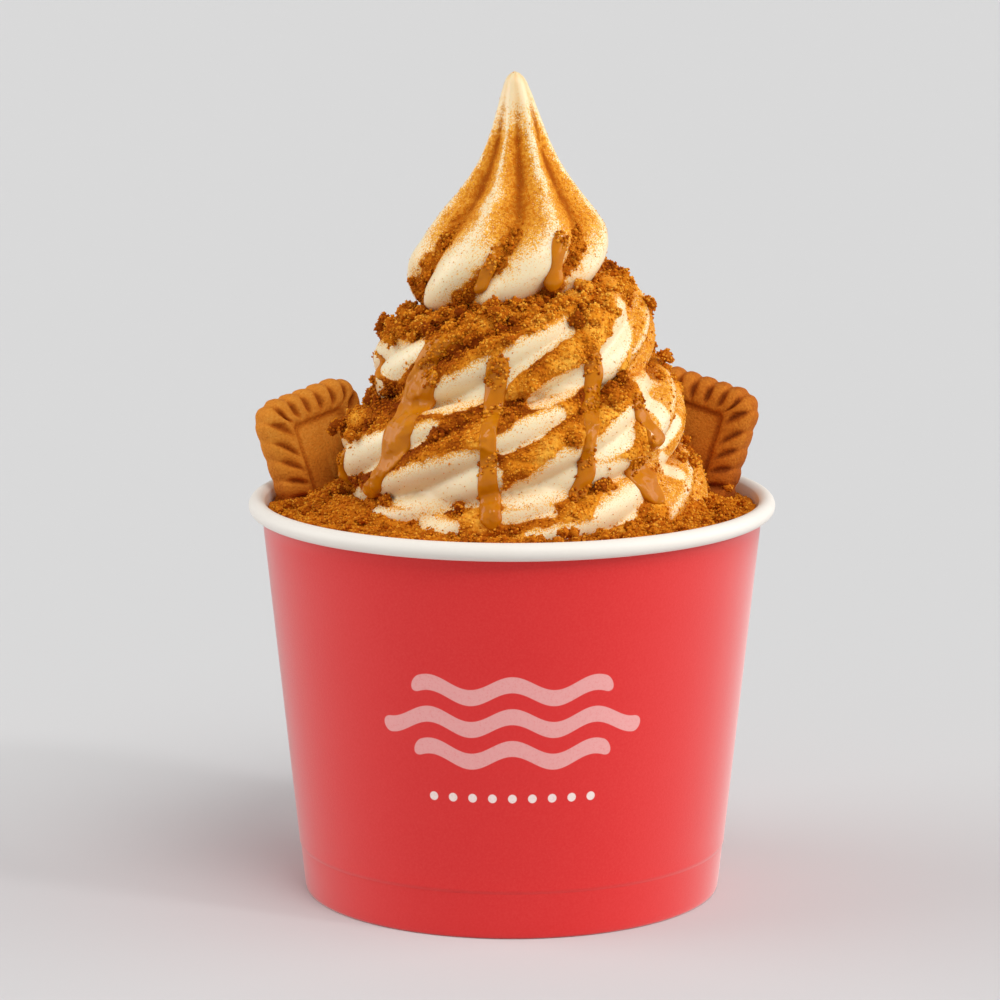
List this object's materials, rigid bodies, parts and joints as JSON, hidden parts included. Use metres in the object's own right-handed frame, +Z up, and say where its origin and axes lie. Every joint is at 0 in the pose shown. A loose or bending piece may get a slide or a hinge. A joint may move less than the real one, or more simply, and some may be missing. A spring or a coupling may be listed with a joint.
{
  "type": "cup of frozen yogurt",
  "caption": "Paper tub with a rolled rim, filled with a tall fluted swirl of frozen yogurt under biscuit crumbs and caramel sauce, with caramelised biscuits standing in it.",
  "frame": {"origin": "middle of the ring that the cup stands on, on the surface it stands on", "axes": "+Z up along the cup's axis, -Y towards the front of the cup, +X to the right as seen from the front"},
  "size_m": [0.115, 0.115, 0.1802],
  "materials": {
    "paper_red": "satin coated paper, printed red",
    "board_white": "matte white paperboard",
    "yogurt": "soft satin, slightly translucent frozen yogurt",
    "crumb": "dry, rough biscuit crumb",
    "biscuit": "dry, fine-grained baked biscuit",
    "caramel": "glossy translucent caramel sauce"
  },
  "bodies": {
    "root": {"cup_wall": "paper_red", "cup_base": "board_white", "yogurt_swirl": "yogurt", "crumb_bed": "crumb", "biscuit_left": "biscuit", "biscuit_right": "biscuit"}
  },
  "joints": []
}
